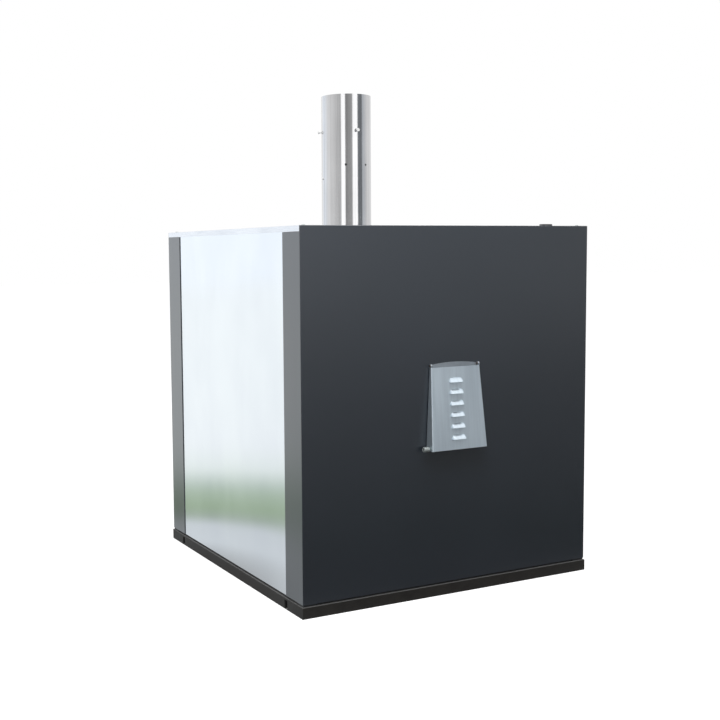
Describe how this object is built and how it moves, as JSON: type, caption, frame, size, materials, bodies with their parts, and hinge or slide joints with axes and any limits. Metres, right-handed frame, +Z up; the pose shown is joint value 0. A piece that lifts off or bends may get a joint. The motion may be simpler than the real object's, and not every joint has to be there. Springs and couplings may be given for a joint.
{
  "type": "masonry heater",
  "caption": "Free-standing masonry heater: refractory core in an insulated sheet-steel jacket, with a louvred top-hinged firing hatch, a rear clean-out door and a flue pipe on top.",
  "frame": {"origin": "middle of the square footprint, at floor level, on the underside of the middle crossbar", "axes": "+X towards the right-hand side seen from the front, +Y towards the rear, so the hatch faces -Y, and +Z up"},
  "size_m": [0.904, 0.9796, 1.375],
  "materials": {
    "anthracite": "satin",
    "mirror_steel": "gloss",
    "stainless": "satin",
    "base_steel": "matte",
    "zinc_steel": "satin",
    "sheet_steel": "satin",
    "dark_steel": "satin",
    "cast_iron": "matte",
    "refractory": "matte",
    "insulation": "matte",
    "rope": "matte"
  },
  "bodies": {
    "heater": {"base_crossbars": "base_steel", "base_plate": "base_steel", "base_rail_front": "base_steel", "base_rail_left": "base_steel", "base_rail_rear": "base_steel", "base_rail_right": "base_steel", "cap_slab": "refractory", "cassette_nuts": "zinc_steel", "cleanout_frame": "cast_iron", "cleanout_pin": "zinc_steel", "cleanout_rope": "rope", "door_block": "refractory", "firebox_roof": "refractory", "firebox_wall_left": "refractory", "firebox_wall_right": "refractory", "flue_collar": "stainless", "flue_pipe": "stainless", "flue_rivet": "stainless", "flue_rope": "rope", "flue_screws": "stainless", "flue_socket": "sheet_steel", "foundation_slab": "refractory", "front_panel": "anthracite", "front_wall_lower": "refractory", "front_wall_upper": "refractory", "hatch_frame": "stainless", "hatch_retainer": "sheet_steel", "hatch_rivets": "stainless", "hatch_rope": "rope", "hearth_slab": "refractory", "hearth_support_front": "refractory", "hearth_support_rear": "refractory", "insulation_bottom": "insulation", "insulation_front": "insulation", "insulation_left": "insulation", "insulation_rear": "insulation", "insulation_right": "insulation", "insulation_top": "insulation", "left_panel": "mirror_steel", "lid": "stainless", "lid_catch": "dark_steel", "lid_screws": "stainless", "outer_wall_left": "refractory", "outer_wall_rear": "refractory", "outer_wall_right": "refractory", "partition_wall": "refractory", "post_front_left": "dark_steel", "post_front_right": "dark_steel", "post_rear_left": "dark_steel", "post_rear_right": "dark_steel", "rear_panel": "anthracite", "right_panel": "mirror_steel"},
    "hatch": {"hatch_flap": "stainless", "lift_bolt": "zinc_steel", "lift_sleeve": "stainless", "lift_nut": "zinc_steel", "hatch_shield": "sheet_steel", "shield_spacers": "sheet_steel"},
    "cleanout": {"cleanout_door": "cast_iron", "cleanout_knob": "dark_steel"}
  },
  "joints": [
    {"name": "hatch_hinge", "type": "hinge", "parent": "heater", "child": "hatch", "pos_m": [0, -0.455, 0.613], "axis": [-1, 0, 0], "range_deg": [0, 100]},
    {"name": "cleanout_hinge", "type": "hinge", "parent": "heater", "child": "cleanout", "pos_m": [0.093, 0.4593, 0.19], "axis": [0, 0, -1], "range_deg": [0, 110]}
  ]
}
